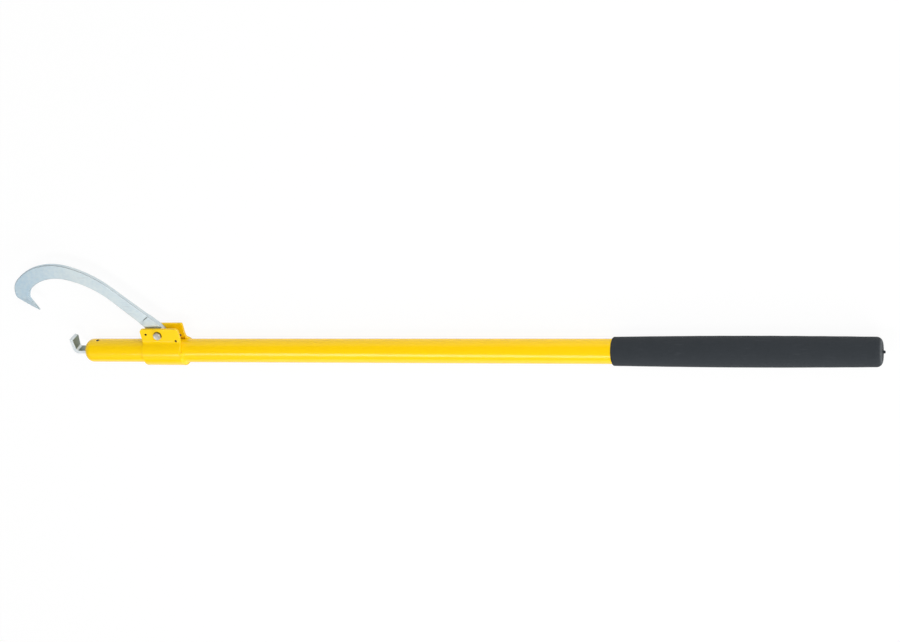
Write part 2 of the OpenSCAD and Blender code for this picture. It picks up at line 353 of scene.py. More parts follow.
def cloud_group():
    """Soft clouds: broad noise with a share of finer noise over it, stretched to run from 0 to 1."""
    finer = 5.3
    lowest, highest = 0.32, 0.68
    tree, given, out = new_group("soft_clouds", {"Scale": 20.0, "Fine Share": 0.35}, "Cloud")
    broad = add(tree, "TexNoise", Vector=given["Vector"], Scale=given["Scale"], Detail=3.0, Roughness=0.55)
    fine_scale = combine(tree, "MULTIPLY", given["Scale"], finer)
    fine = add(tree, "TexNoise", Vector=given["Vector"], Scale=fine_scale, Detail=4.0, Roughness=0.6)
    gap = combine(tree, "SUBTRACT", fine.outputs["Fac"], broad.outputs["Fac"])
    share = combine(tree, "MULTIPLY", gap, given["Fine Share"])
    both = combine(tree, "ADD", broad.outputs["Fac"], share)
    feed(tree, out["Cloud"], ranged(tree, both, lowest, highest, 0.0, 1.0))
    return tree


def mark_group():
    """Fine handling marks: thin streaks of stretched noise, broken up by broad noise."""
    slope, stretch = (0.2, 0.1, 0.5), (1.0, 14.0, 14.0)
    line_from, line_to = 0.60, 0.70
    patch_from, patch_to = 0.45, 0.62
    tree, given, out = new_group("handling_marks", {"Scale": 60.0, "Amount": 0.5}, "Mark")
    drawn = add(tree, "Mapping", Vector=given["Vector"], Rotation=slope, Scale=stretch)
    streak = add(tree, "TexNoise", Vector=drawn.outputs["Vector"], Scale=given["Scale"], Detail=2.0)
    line = ranged(tree, streak.outputs["Fac"], line_from, line_to, 0.0, 1.0)
    patch = add(tree, "TexNoise", Vector=given["Vector"], Scale=given["Scale"], Detail=2.0)
    shown = ranged(tree, patch.outputs["Fac"], patch_from, patch_to, 0.0, 1.0)
    broken = combine(tree, "MULTIPLY", line, shown)
    feed(tree, out["Mark"], combine(tree, "MULTIPLY", broken, given["Amount"]))
    return tree


def pebble_group():
    """Pebbled skin: rounded cells of one size with grain of another over them."""
    inputs = {"Cells": 900.0, "Grain": 3000.0, "Grain Share": 0.4}
    tree, given, out = new_group("pebbled_skin", inputs, "Height")
    cell = add(tree, "TexVoronoi", {"feature": "SMOOTH_F1"}, Vector=given["Vector"], Scale=given["Cells"])
    grain = add(tree, "TexNoise", Vector=given["Vector"], Scale=given["Grain"], Detail=3.0)
    share = combine(tree, "MULTIPLY", grain.outputs["Fac"], given["Grain Share"])
    feed(tree, out["Height"], combine(tree, "ADD", cell.outputs["Distance"], share))
    return tree


clouds = cloud_group()
marks = mark_group()
pebbles = pebble_group()


def new_finish(name, **sockets):
    """Material with a Principled shader whose constant values sit on its own sockets."""
    material = bpy.data.materials.new(name)
    material.use_nodes = True
    tree = material.node_tree
    shader = tree.nodes["Principled BSDF"]
    for key, value in sockets.items():
        shader.inputs[key.replace("_", " ")].default_value = value
    place = add(tree, "TexCoord").outputs["Object"]
    return material, tree, shader, place


def effect(tree, group, place, **values):
    """First output of a shared effect, placed with its own values."""
    made = tree.nodes.new("ShaderNodeGroup")
    made.node_tree = group
    feed(tree, made.inputs["Vector"], place)
    for key, value in values.items():
        feed(tree, made.inputs[key.replace("_", " ")], value)
    return made.outputs[0]


def coloured(tree, shader, colour, cloud, least_rough, most_rough):
    """Feeds a colour to the shader, and a roughness that runs between two values with the clouds."""
    feed(tree, shader.inputs["Base Color"], colour)
    feed(tree, shader.inputs["Roughness"], ranged(tree, cloud, 0.0, 1.0, least_rough, most_rough))


def bumped(tree, shader, height, strength, distance):
    """Feeds a height to the shader's normal."""
    bump = add(tree, "Bump", Height=height, Strength=strength, Distance=distance)
    feed(tree, shader.inputs["Normal"], bump.outputs["Normal"])


def mask(tree, label):
    """Mask that each piece carries on its points: edge for painted light and shade on rounded edges,
    and a shade mask for painted shade on inner faces, in corners and in other shaded places."""
    return add(tree, "Attribute", {"attribute_name": label}).outputs["Fac"]


def near_axis(tree, place, centre, across, full_r, none_r):
    """Mask round a line: 1 within one distance of it, and 0 beyond another. across holds 0 for the line's
    own axis and 1 for the other two."""
    across = np.array(across)
    about = add(tree, "Mapping", Vector=place, Location=-across * centre, Scale=across)
    gap = add(tree, "VectorMath", {"operation": "LENGTH"}, Vector=about.outputs["Vector"])
    return ranged(tree, gap.outputs["Value"], full_r, none_r, 1.0, 0.0)


def powder_coat():
    """Yellow powder coat: fine orange peel, faint clouds, and a painted highlight that lightens its edges.
    It carries painted shade: dark inside the stop holes, in and round the toe pin's bore, and in a ring
    round the pivot bolt's head."""
    # Colour of the painted shade
    shade_dark = (0.012, 0.010, 0.006, 1)
    edge_highlight_yellow, edge_highlight_share = (0.97, 0.70, 0.02, 1), 0.25
    ring_full, ring_none = 0.53 * bolt_af, 0.59 * bolt_af
    rim_full, rim_none = 0.1 * MM, 0.25 * MM
    pin_shade_rim = 0.7 * MM
    material, tree, shader, place = new_finish("yellow_powder_coat", IOR=1.4)
    cloud = effect(tree, clouds, place, Scale=28.0, Fine_Share=0.4)
    coat = mixed(tree, cloud, (0.98, 0.635, 0.002, 1), (0.96, 0.605, 0.002, 1))
    # Painted highlight: edges lightened towards a paler yellow by the edge mask
    edge_highlight = combine(tree, "MULTIPLY", mask(tree, "edge"), edge_highlight_share)
    highlighted = mixed(tree, edge_highlight, coat, edge_highlight_yellow)
    # Painted shade: dark round the bolt's head, inside the stop holes, and in and round the pin's bore
    dark = near_axis(tree, place, pivot, (1, 1, 0), ring_full, ring_none)
    bores = [(pivot + [*hole, 0], (1, 1, 0), stop_hole_r) for hole in (front_hole, rear_hole)]
    bores.append((axis + [pin_x, 0, 0], (1, 0, 1), pin_r + pin_shade_rim))
    for centre, across, bore_r in bores:
        bore_shade = near_axis(tree, place, centre, across, bore_r + rim_full, bore_r + rim_none)
        dark = combine(tree, "MAXIMUM", dark, bore_shade)
    coloured(tree, shader, mixed(tree, dark, highlighted, shade_dark), cloud, 0.17, 0.23)
    peel = effect(tree, pebbles, place, Cells=420.0, Grain=1500.0, Grain_Share=0.3)
    bumped(tree, shader, peel, strength=0.06, distance=0.4 * MM)
    return material


def zinc_plate(name, pale, blue, shade, rough, mark_scale, edge_dark_share, bend=None):
    """Zinc plating on steel: bluish clouds, fine marks along the part, a painted dark reflection greying
    the edges by the given share, and painted shade where a piece carries its shade mask. A bend colour
    takes over in patches at the hook's far end."""
    mark_grey, edge_grey = (0.50, 0.55, 0.58, 1), (0.30, 0.34, 0.36, 1)
    bend_full, bend_none = bend_x + 12 * MM, bend_x + 95 * MM
    rough_range = 0.12
    material, tree, shader, place = new_finish(name, Metallic=0.85)
    cloud = effect(tree, clouds, place, Scale=34.0, Fine_Share=0.6)
    mark = effect(tree, marks, place, Scale=mark_scale, Amount=0.5)
    plate = mixed(tree, cloud, pale, blue)
    if bend:
        x = add(tree, "SeparateXYZ", Vector=place).outputs["X"]
        towards = ranged(tree, x, bend_full, bend_none, 1.0, 0.0)
        patchy = combine(tree, "MULTIPLY", towards, ranged(tree, cloud, 0.0, 1.0, 0.35, 0.95))
        plate = mixed(tree, patchy, plate, bend)
    scored = mixed(tree, mark, plate, mark_grey)
    # Painted dark reflection: rounded edges greyed by the edge mask
    edge_dark = combine(tree, "MULTIPLY", mask(tree, "edge"), edge_dark_share)
    edge_shading = mixed(tree, edge_dark, scored, edge_grey)
    # Painted shade where the shade mask lies
    shaded_plate = mixed(tree, mask(tree, "hollow"), edge_shading, shade)
    coloured(tree, shader, shaded_plate, cloud, rough, rough + rough_range)
    grain = effect(tree, pebbles, place, Cells=700.0, Grain=2600.0, Grain_Share=0.8)
    bumped(tree, shader, combine(tree, "SUBTRACT", grain, mark), strength=0.10, distance=0.2 * MM)
    return material


def spring_steel():
    """Dark phosphated spring steel with grey clouds."""
    material, tree, shader, place = new_finish("dark_spring_steel", Metallic=0.8)
    cloud = effect(tree, clouds, place, Scale=260.0, Fine_Share=0.5)
    steel = mixed(tree, cloud, (0.05, 0.048, 0.045, 1), (0.10, 0.095, 0.09, 1))
    coloured(tree, shader, steel, cloud, 0.45, 0.62)
    return material


def natural_nylon():
    """Natural nylon: milky, with faint clouds and a soft sheen."""
    material, tree, shader, place = new_finish("natural_nylon")
    cloud = effect(tree, clouds, place, Scale=300.0, Fine_Share=0.3)
    milk = mixed(tree, cloud, (0.80, 0.78, 0.70, 1), (0.74, 0.72, 0.63, 1))
    coloured(tree, shader, milk, cloud, 0.38, 0.5)
    return material


def foam_skin():
    """Closed-cell foam: matt charcoal, pebbled skin, faint clouds, paler marks and a painted rim highlight.
    """
    mark_grey, rim_highlight_grey = (0.055, 0.062, 0.07, 1), (0.13, 0.14, 0.15, 1)
    material, tree, shader, place = new_finish("charcoal_foam", IOR=1.38)
    cloud = effect(tree, clouds, place, Scale=40.0, Fine_Share=0.6)
    mark = effect(tree, marks, place, Scale=40.0, Amount=0.22)
    charcoal = mixed(tree, cloud, (0.018, 0.023, 0.028, 1), (0.025, 0.030, 0.036, 1))
    marked = mixed(tree, mark, charcoal, mark_grey)
    # Painted highlight on the grip's rounded rim, from the edge mask
    rim_highlight = combine(tree, "MULTIPLY", mask(tree, "edge"), ranged(tree, cloud, 0.0, 1.0, 0.5, 1.0))
    coloured(tree, shader, mixed(tree, rim_highlight, marked, rim_highlight_grey), cloud, 0.74, 0.86)
    skin = effect(tree, pebbles, place, Cells=620.0, Grain=2400.0, Grain_Share=0.6)
    bumped(tree, shader, skin, strength=0.35, distance=0.5 * MM)
    return material


paint = powder_coat()
# Colour of the painted shade on the hook's and the toe's inner faces
inner_shade = (0.24, 0.28, 0.24, 1)
hook_zinc = zinc_plate("hook_zinc", pale=(0.67, 0.735, 0.74, 1), blue=(0.58, 0.67, 0.715, 1),
                       shade=inner_shade, rough=0.48, mark_scale=55.0, edge_dark_share=0.8,
                       bend=(0.45, 0.61, 0.73, 1))
toe_zinc = zinc_plate("toe_zinc", pale=(0.78, 0.82, 0.82, 1), blue=(0.68, 0.74, 0.77, 1),
                      shade=inner_shade, rough=0.44, mark_scale=90.0, edge_dark_share=0.3)
# The bolt's darkest colour is that of its painted shade
bolt_zinc = zinc_plate("bolt_zinc", pale=(0.58, 0.56, 0.50, 1), blue=(0.44, 0.43, 0.40, 1),
                       shade=(0.09, 0.08, 0.06, 1), rough=0.34, mark_scale=200.0, edge_dark_share=0.8)
pin_steel = spring_steel()
nylon = natural_nylon()
foam = foam_skin()


# Lever pieces
def pin_drill():
    """Cutter for the toe pin's bore, through the nose along Y."""
    return drill("pin_drill", pin_r + fit / 2, 2 * tube_r, "Y", (pin_x, axis[1], axis[2]), loops=32)


def handle_tube():
    """Steel tube: a turned ring with faintly eased ends, bored for the toe pin."""
    end_r = 0.02 * MM
    tube = ring_piece("handle_tube_skin", tube_r - tube_wall, tube_r, tube_from, tube_to, end_r, "X", axis)
    return dress(cut(tube, pin_drill()), paint, "lever", "handle_tube")


# Toe: a flat bar bent up into a lip, seen along the pivot axis with heights from the tube's axis. The skew
# is how far over the lip's far top corner lies
toe_t = 4.8 * MM
toe_bend_r = 8 * MM
lip_lean = radians(5)
lip_bevel = 2.3 * MM
lip_skew = np.array([2.4, 1.4]) * MM


def nose_plug():
    """Domed plug: a blunt quarter, r = tube_r * sin(a)^(2/n) and x = dome_h * cos(a)^(2/n), turned about
    the tube's axis, and a spigot inside the tube, cut by the toe's slot."""
    dome_h, blunt = 12 * MM, 2.4
    spigot_r = tube_r - tube_wall - fit
    chamfer, slot_r, play = 1 * MM, 0.4 * MM, 0.1 * MM
    angle = np.linspace(0, pi / 2, 40)
    inwards, ahead = (np.clip(side(angle), 0, 1) ** (2 / blunt) for side in (np.sin, np.cos))
    dome = np.stack([tube_r * inwards, tube_from - dome_h * ahead], -1)
    spigot = [(spigot_r, tube_from), (spigot_r, plug_to - chamfer),
              (spigot_r - chamfer, plug_to), (0, plug_to)]
    plug = turned("nose_plug_dome", np.concatenate([dome, spigot]), "X", axis)
    ends = np.array([nose_x - tube_r, plug_to + tube_r])
    slot = bar("slot_cutter", np.stack([ends, 0 * ends + toe_low - play], -1),
               np.stack([ends, 0 * ends + toe_low + toe_t + play], -1),
               -toe_half_w - play, toe_half_w + play, slot_r, (0, 1, 2), axis)
    return dress(cut(plug, slot, pin_drill()), paint, "lever", "nose_plug")


def toe_claw():
    """Toe bar: its two edges run from the lip's ground end down its leaning faces, round a common bend of
    centre + r * (cos a, sin a), and along the tang. Its inner face carries painted shade, left off the bend
    as a painted highlight there, and the lip is skewed in proportion to its height."""
    edge_r, end_r = 0.6 * MM, 0.5 * MM
    # Share of the painted shade taken off the bend, which then reads as a painted highlight
    bend_shine = 0.8
    side = np.array([cos(lip_lean), sin(lip_lean)])
    up = np.array([-sin(lip_lean), cos(lip_lean)])
    edge_out = np.array([lip_x, lip_top])
    edge_in = edge_out + toe_t * side - lip_bevel * up
    centre_y = toe_low + toe_bend_r
    centre_x = lip_x + toe_bend_r / cos(lip_lean) + (lip_top - centre_y) * tan(lip_lean)
    turn = np.linspace(pi + lip_lean, 1.5 * pi, 16)
    bend_out = np.array([centre_x, centre_y]) + toe_bend_r * ray(turn)
    bend_in = np.array([centre_x, centre_y]) + (toe_bend_r - toe_t) * ray(turn)
    lip_len = np.linalg.norm(bend_out[0] - edge_out)
    down = np.concatenate([closing(end_r, 5), np.linspace(end_r, lip_len, 7)[1:-1]])
    share = (down / lip_len)[:, None]
    tang_x = np.linspace(centre_x, tang_to, 8)[1:]
    tang = np.stack([tang_x, 0 * tang_x + toe_low], -1)
    outer = np.concatenate([edge_out + share * (bend_out[0] - edge_out), bend_out, tang])
    inner = np.concatenate([edge_in + share * (bend_in[0] - edge_in), bend_in, tang + [0, toe_t]])
    ease = np.concatenate([end_ease(down, end_r), np.zeros(len(outer) - len(down))])
    tall = np.concatenate([1 - down / lip_len, np.zeros(len(outer) - len(down))])
    shine = np.sqrt(np.sin(np.linspace(0, pi, len(turn))).clip(0, 1))
    bent = np.concatenate([np.zeros(len(down)), shine, np.zeros(len(tang))])
    # Painted shade on the inner face, lifted where the bend shows its painted highlight
    toe = bar("toe_claw_bar", inner, outer, -toe_half_w, toe_half_w, edge_r, (0, 1, 2), axis, draw_in=ease,
              hollow=1 - bend_shine * bent, skew=lip_skew * tall[:, None])
    return dress(cut(toe, pin_drill()), toe_zinc, "lever", "toe_claw")


def toe_pin():
    """Slotted spring pin: a rolled wall, one bar whose stations turn round the pin's own axis. Its end is
    sunk below the tube's surface."""
    wall, edge_r, slit, sunk = 0.6 * MM, 0.15 * MM, 0.5 * MM, 0.7 * MM
    half_slit = slit / 2 / pin_r
    turn = np.linspace(half_slit, 2 * pi - half_slit, 48)
    pin_to = axis[1] + tube_r - sunk
    pin = bar("toe_pin_roll", (pin_r - wall) * ray(turn), pin_r * ray(turn), pin_from, pin_to, edge_r,
              (2, 0, 1), (pin_x, 0, axis[2]))
    return dress(pin, pin_steel, "lever", "toe_pin")


def strap_edges():
    """Inner and outer edges of the strap across the tube, as (y, z) from its axis: down the near ear,
    round its fold, round the tube and up the far ear. Returns too how far each station is below its ear's
    top, and the radius of that ear's corners."""
    ear_out = ear_gap / 2 + ear_t
    fold_z = ear_out + fold_r
    fold_centre = np.array([sqrt((strap_r + fold_r) ** 2 - fold_z ** 2), fold_z])
    fold_to = atan2(fold_centre[1], fold_centre[0])
    down = np.concatenate([closing(far_ear_r, 12), np.linspace(far_ear_r, ear_r, 7)[1:],
                           np.linspace(ear_r, ear_top - fold_centre[0], 6)[1:]])
    ear = np.stack([ear_top - down, 0 * down], -1)
    fold = np.linspace(pi / 2, fold_to, 14)[1:]
    wrap = np.linspace(fold_to, pi, 60)[1:]
    outer = np.concatenate([ear + [0, ear_out], fold_centre - fold_r * ray(fold), strap_r * ray(wrap)])
    inner = np.concatenate([ear + [0, ear_gap / 2], fold_centre - (fold_r + ear_t) * ray(fold),
                            (strap_r - strap_t) * ray(wrap)])
    below = np.concatenate([down, np.full(len(outer) - len(down), ear_top)])
    flip = np.array([1, -1])
    corner_r = np.repeat([ear_r, far_ear_r], [len(outer), len(outer) - 1])
    return (np.concatenate([inner, inner[-2::-1] * flip]), np.concatenate([outer, outer[-2::-1] * flip]),
            np.concatenate([below, below[-2::-1]]), corner_r)


def stop_hole_drill(place):
    """Cutter for a small hole through both ears, flared at their faces: r + max(0, flare - distance)."""
    flare = 0.3 * MM
    faces = np.array([-ear_gap / 2 - ear_t, -ear_gap / 2, ear_gap / 2, ear_gap / 2 + ear_t])
    steps = (faces[:, None] + flare * np.array([-1, 0, 1])).ravel()
    height = np.sort(np.concatenate([steps, [-strap_r, strap_r]]))
    radius = stop_hole_r + np.clip(flare - np.abs(height[:, None] - faces).min(1), 0, flare)
    profile = np.concatenate([[(0, -strap_r)], np.stack([radius, height], -1), [(0, strap_r)]])
    return turned("stop_hole_drill", profile, "Z", pivot + [place[0], place[1], 0], loops=40)


def hook_bracket():
    """Folded strap: a rounded-edge bar carried along ear, fold, wrap, fold and ear, with round top corners
    and holes."""
    edge_r, top_r = 0.7 * MM, 0.6 * MM
    inner, outer, below, corner_r = strap_edges()
    corner = end_ease(below, corner_r)
    strap = bar("hook_bracket_strap", inner, outer, strap_from + corner, strap_to - corner, edge_r,
                (1, 2, 0), axis, draw_in=end_ease(below, top_r))
    bolt_drill = drill("bolt_drill", bolt_hole_r, strap_r, "Z", pivot, loops=64)
    cut(strap, bolt_drill, stop_hole_drill(front_hole), stop_hole_drill(rear_hole))
    return dress(strap, paint, "lever", "hook_bracket")


def weld_bead(name, x, way, from_deg, to_deg, run):
    """Fillet weld round the tube from (tube, x + run) to (strap, x): a bead between a flat fillet and a
    quarter ellipse, scalloped along its length as 1 + depth * cos(2 pi * (arc / pitch - lag * sin(pi p))),
    and tapered to rounded ends. way is 1 or -1 along X."""
    pitch, depth, lag = 2.4 * MM, 0.07, 0.45
    crown, least_taper = 0.5, 0.004
    share = np.linspace(0, 1, 200)[:, None]
    sweep = radians(to_deg - from_deg)
    angle = radians(from_deg) + sweep * share
    p = np.linspace(0, 1, 15)[None, :]
    from_end = np.minimum(share, 1 - share) * sweep * tube_r
    taper = np.sqrt(np.clip(1 - (1 - np.clip(from_end / weld_leg, 0, 1)) ** 2, least_taper, 1))
    ripple = depth * (np.cos(2 * pi * (angle * tube_r / pitch - lag * np.sin(pi * p))) - 1)
    slope = pi / 2 * p
    bulge = taper * (1 + ripple) * (crown + (1 - crown) / (np.sin(slope) + np.cos(slope)))
    out = np.concatenate([weld_leg * bulge * np.sin(slope), 0 * share - weld_sunk], 1)
    ahead = np.concatenate([run * bulge * np.cos(slope), 0 * share - weld_sunk], 1)
    radius = tube_r + out
    y = axis[1] + radius * np.cos(angle)
    z = axis[2] + radius * np.sin(angle)
    grid = np.stack([x + way * ahead, y, z], -1)
    return dress(surface(name, grid, capped=True), paint, "lever", "hook_bracket")


def ear_weld():
    """Weld up the far ear's rear edge: across the ear, each slice is a concave quarter, run * (1 - sin p)
    along the tube and rise * (1 - cos p) up the edge, rippled along p and drawn in to both sides as
    sqrt(1 - s^4)."""
    run, rise = 8.4 * MM, 10 * MM
    wide = ear_t + 2 * MM
    ripple, waves, lag, least_taper = 0.05, 16, 2, 0.001
    share = np.linspace(-1, 1, 61)[:, None]
    p = np.linspace(0, pi / 2, 40)[None, :]
    taper = np.sqrt(np.clip(1 - share ** 4, least_taper, 1))
    full = taper * (1 + ripple * np.cos(waves * p + lag * share ** 2))
    z = -ear_gap / 2 - ear_t / 2 + share * wide / 2
    ahead = np.concatenate([run * full * (1 - np.sin(p)), 0 * share - weld_sunk], 1)
    up = np.concatenate([rise * full * (1 - np.cos(p)), 0 * share - weld_sunk], 1)
    level = np.sqrt(tube_r ** 2 - z ** 2) + up
    grid = np.stack([strap_to + ahead, axis[1] + level, axis[2] + z + 0 * up], -1)
    return dress(surface("weld_ear", grid, capped=True), paint, "lever", "hook_bracket")


# Hook outline about the pivot: each edge leaves the eye straight, then takes arcs of (radius, degrees). The
# cheeks end at a shoulder that slants across the arm and runs out to a ramp
outer_heading = radians(136.2)
outer_offset = 11 * MM
outer_line = 89 * MM
outer_arcs = ((143 * MM, 26.5), (84 * MM, 60.5), (28 * MM, 59))
inner_heading = radians(134)
inner_offset = 8.6 * MM
inner_line = 75.7 * MM
inner_arcs = ((127.5 * MM, 32.3), (64.8 * MM, 51.2), (26 * MM, 45))
beak_heading = radians(319)
beak_arc = (230 * MM, 9)
heel_run = 6.2 * MM
eye_r = 9 * MM
hook_t = 5.2 * MM
point_t = 2.2 * MM
cheek_len = 27.5 * MM
shoulder = 1.2 * MM
slant = 3.8 * MM
ramp = 18 * MM


def arcs(start, heading, turns, share):
    """Points along tangent arcs: start + r * (n(h) - n(h + turn * t)), with n(h) the left-hand normal."""
    runs = []
    for radius, degrees in turns:
        way = heading + radians(degrees) * share
        left = np.array([-sin(heading), cos(heading)])
        run = start + radius * (left + np.stack([np.sin(way), -np.cos(way)], -1))
        runs.append(run)
        start = run[-1]
        heading += radians(degrees)
    return np.concatenate(runs)


def hook_arm():
    """Inner and outer edges of the straight arm from the eye's back. Station u lies along the outer edge,
    with the closest stations on the shoulder. That edge is the eye's circle, a tangent from it to the
    heel, and a line; the inner edge is the circle and a line."""
    along = ray(outer_heading)
    right = np.array([sin(outer_heading), -cos(outer_heading)])
    gap = outer_heading - inner_heading
    tangent = atan2(outer_offset, heel_run) + acos(eye_r / hypot(heel_run, outer_offset))
    meet = inner_offset * sin(gap) + sqrt(eye_r ** 2 - inner_offset ** 2) * cos(gap)
    arm_to, first_angle = 60 * MM, 0.03
    reach = (shoulder + slant) / 2
    u = np.sort(np.concatenate([-eye_r * np.cos(np.linspace(first_angle, pi / 2, 18)),
                                [eye_r * cos(tangent), meet, heel_run],
                                np.linspace(eye_r, cheek_len - reach, 12)[:-1],
                                cheek_len + reach * np.linspace(-1, 1, 41),
                                np.linspace(cheek_len + reach, arm_to, 20)[1:]]))
    chord = np.sqrt(np.maximum(eye_r ** 2 - u ** 2, 0))
    heel_line = np.interp(u, [eye_r * cos(tangent), heel_run], [eye_r * sin(tangent), outer_offset])
    outer_v = np.where(u < eye_r * cos(tangent), chord, heel_line)
    length = (u - inner_offset * sin(gap)) / cos(gap)
    inner_v = np.where(u < meet, -chord, length * sin(gap) - inner_offset * cos(gap))
    return u, u[:, None] * along + inner_v[:, None] * right, u[:, None] * along + outer_v[:, None] * right


def hook_edges():
    """Matched inner and outer edges of the whole hook, each station's place u along the arm, and its share
    of the beak, from 0 at the grind's line to 1 at the point."""
    u, inner_arm, outer_arm = hook_arm()
    outer_side = np.array([sin(outer_heading), -cos(outer_heading)])
    inner_side = np.array([sin(inner_heading), -cos(inner_heading)])
    outer_turn = outer_offset * outer_side + outer_line * ray(outer_heading)
    inner_turn = -inner_offset * inner_side + inner_line * ray(inner_heading)
    fill = np.linspace(0, 1, 6)[1:, None]
    share = np.linspace(0, 1, 25)[1:]
    outer_run = arcs(outer_turn, outer_heading, outer_arcs, share)
    inner_run = arcs(inner_turn, inner_heading, inner_arcs, share)
    root, kink = outer_run[-1], inner_run[-1]
    grind_line, grind_from, grind_to = 0.01, 0.06, 0.975
    beak = np.concatenate([[grind_line], np.linspace(grind_from, grind_to, 16)])
    belly = arcs(root, beak_heading, (beak_arc,), beak)
    tip = arcs(root, beak_heading, (beak_arc,), np.ones(1))[0]
    outer_line_run = outer_arm[-1] + fill * (outer_turn - outer_arm[-1])
    inner_line_run = inner_arm[-1] + fill * (inner_turn - inner_arm[-1])
    throat = kink + beak[:, None] * (tip - kink)
    outer = np.concatenate([outer_arm, outer_line_run, outer_run, belly])
    inner = np.concatenate([inner_arm, inner_line_run, inner_run, throat])
    along_arm = np.append(u, np.full(len(outer) - len(u), outer_line))
    along_beak = np.append(np.zeros(len(outer) - len(beak)), beak)
    return inner, outer, along_arm, along_beak


def swing_hook():
    """Forged hook: a rounded-edge bar between its two edges. Its thickness eases from the raised cheeks to
    the arm, 3 t^2 - 2 t^3, in a slanted shoulder that runs out to a long ramp towards the inner edge, and
    thins evenly from the grind's line to the point. Painted shade lies on the beak's inner edge, in the
    shoulder's corner and down between the ears. The eye is bored for the bush."""
    edge_r, sharper = 0.9 * MM, 0.6
    middle, shade_to = 0.5, 0.95
    # Share of painted shade on the beak's inner edge
    beak_shade = 0.4
    shade_fade, shade_below = 1.4 * MM, 0.6 * MM
    inner, outer, u, beak = hook_edges()
    shade_top = axis[1] + ear_top - pivot[1] - shade_below
    thick = hook_t + (point_t - hook_t) * beak - 2 * end_ease(u + eye_r, edge_r)

    def cheeks(share, place):
        """Growth of the thickness, and painted shade, at each share across the arm and place on its flat."""
        run = shoulder + ramp * np.clip(1 - share / middle, 0, 1)
        line = cheek_len + slant * (middle - share)
        step = np.clip((u[:, None] - line) / run + 0.5, 0, 1)
        # Painted shade: a dark line in the shoulder's corner, and below the ears' top, between them
        corner = 4 * step * (1 - step) * (shoulder / run) ** 2
        sheltered = np.clip((shade_top - place[..., 1]) / shade_fade, 0, 1)
        shade_dark = np.maximum(corner, sheltered) * (share < shade_to)
        return 1 + (cheek_t / hook_t - 1) * (1 - step * step * (3 - 2 * step)), shade_dark

    hook = bar("swing_hook_forging", inner, outer, -thick / 2, thick / 2, edge_r * (1 - sharper * beak),
               (0, 1, 2), pivot, hollow=beak_shade * beak, steps=6, swell=cheeks)
    eye = drill("eye_drill", bush_r + fit, cheek_t, "Z", pivot, loops=96)
    return dress(cut(hook, eye), hook_zinc, "hook", "swing_hook")


# Pivot stack: rings about the pivot axis, with heights from the pivot
stack_angle = np.linspace(0, 2 * pi, 96, endpoint=False)


def hexagon_rings(seat, height, way):
    """Rings of a hexagon from its seat to its free face: washer face, flats, and the arcs of a 30 degree
    chamfer. The radius at an angle from a flat's middle is half the width over its cosine. way is 1 or -1
    along Z."""
    full = bolt_af / 2 / np.cos((stack_angle + pi / 6) % (pi / 3) - pi / 6)
    face_r = 0.475 * bolt_af
    lift, ease = 0.25 * MM, 0.15 * MM
    droop = (full - face_r) * tan(radians(30))
    rings = [(face_r, 0), (face_r, lift), (full - ease, lift), (full, lift + ease),
             (full, height - droop - ease / 2), (full - ease / 3, height - droop), (face_r, height)]
    return [(radius, seat + way * rise) for radius, rise in rings]


def pivot_stack(name, rings, closed=False, **masks):
    """Surface about the pivot from rings of (radius, height), each a number or an array round the angle."""
    radius = np.stack([np.broadcast_to(r, stack_angle.shape) for r, h in rings])
    height = np.stack([np.broadcast_to(h, stack_angle.shape) for r, h in rings])
    grid = np.stack([radius * np.cos(stack_angle), radius * np.sin(stack_angle), height], -1)
    return surface(name, grid + pivot, ring=closed, **masks)


def pivot_bolt():
    """Hexagon bolt: a shank with a chamfered end, a thread r - depth * wave(z / pitch - a / 2 pi), and a
    head with a shallow dish. Painted shade lies round the head's foot and fades up its flats."""
    seat = bolt_to - bolt_head_h
    pitch, depth, thread_len, tip = 1.0 * MM, 0.3 * MM, 16 * MM, 0.6 * MM
    level = np.linspace(bolt_from + tip, bolt_from + thread_len, 130)[:, None]
    wave = np.abs(((level / pitch - stack_angle / (2 * pi)) % 1) - 0.5) * 2
    rings = [(0, bolt_from), (bolt_r - tip, bolt_from)]
    rings += [(bolt_r - depth * w, z) for w, z in zip(wave, level)]
    rings += [(bolt_r, bolt_from + thread_len + pitch / 4), (bolt_r, seat)]
    head = hexagon_rings(seat, bolt_head_h, 1)
    dish, rim_r, floor_r = 0.2 * MM, 0.40 * bolt_af, 0.36 * bolt_af
    face = [(rim_r, bolt_to), (floor_r, bolt_to - 0.8 * dish), (0, bolt_to - dish)]
    # Painted shade: dark at the head's foot, fading up its flats below the chamfered top
    unshaded_rings = 3
    counts = [len(rings), len(head) - unshaded_rings, unshaded_rings + len(face)]
    shaded_foot = np.repeat([0.0, 1.0, 0.0], counts)[:, None]
    bolt = pivot_stack("pivot_bolt_hex", rings + head + face, hollow=shaded_foot)
    return dress(bolt, bolt_zinc, "lever", "pivot_bolt")


def pivot_nut():
    """Lock nut: a chamfered hexagon, and a collar rolled over the nylon ring as a half circle."""
    hexagon_h = 4 * MM
    collar_r = 4.5 * MM
    roll_r = (collar_r - insert_r) / 2
    roll = np.linspace(pi / 2, -pi / 2, 9)
    rings = [(thread_bore_r, nut_to)] + hexagon_rings(nut_to, hexagon_h, -1)
    rings += [(insert_r + roll_r + roll_r * sin(a), nut_from + roll_r * (1 - cos(a))) for a in roll]
    rings += [(insert_r, insert_to), (thread_bore_r, insert_to)]
    return dress(pivot_stack("pivot_nut_lock", rings, True), bolt_zinc, "lever", "pivot_nut")


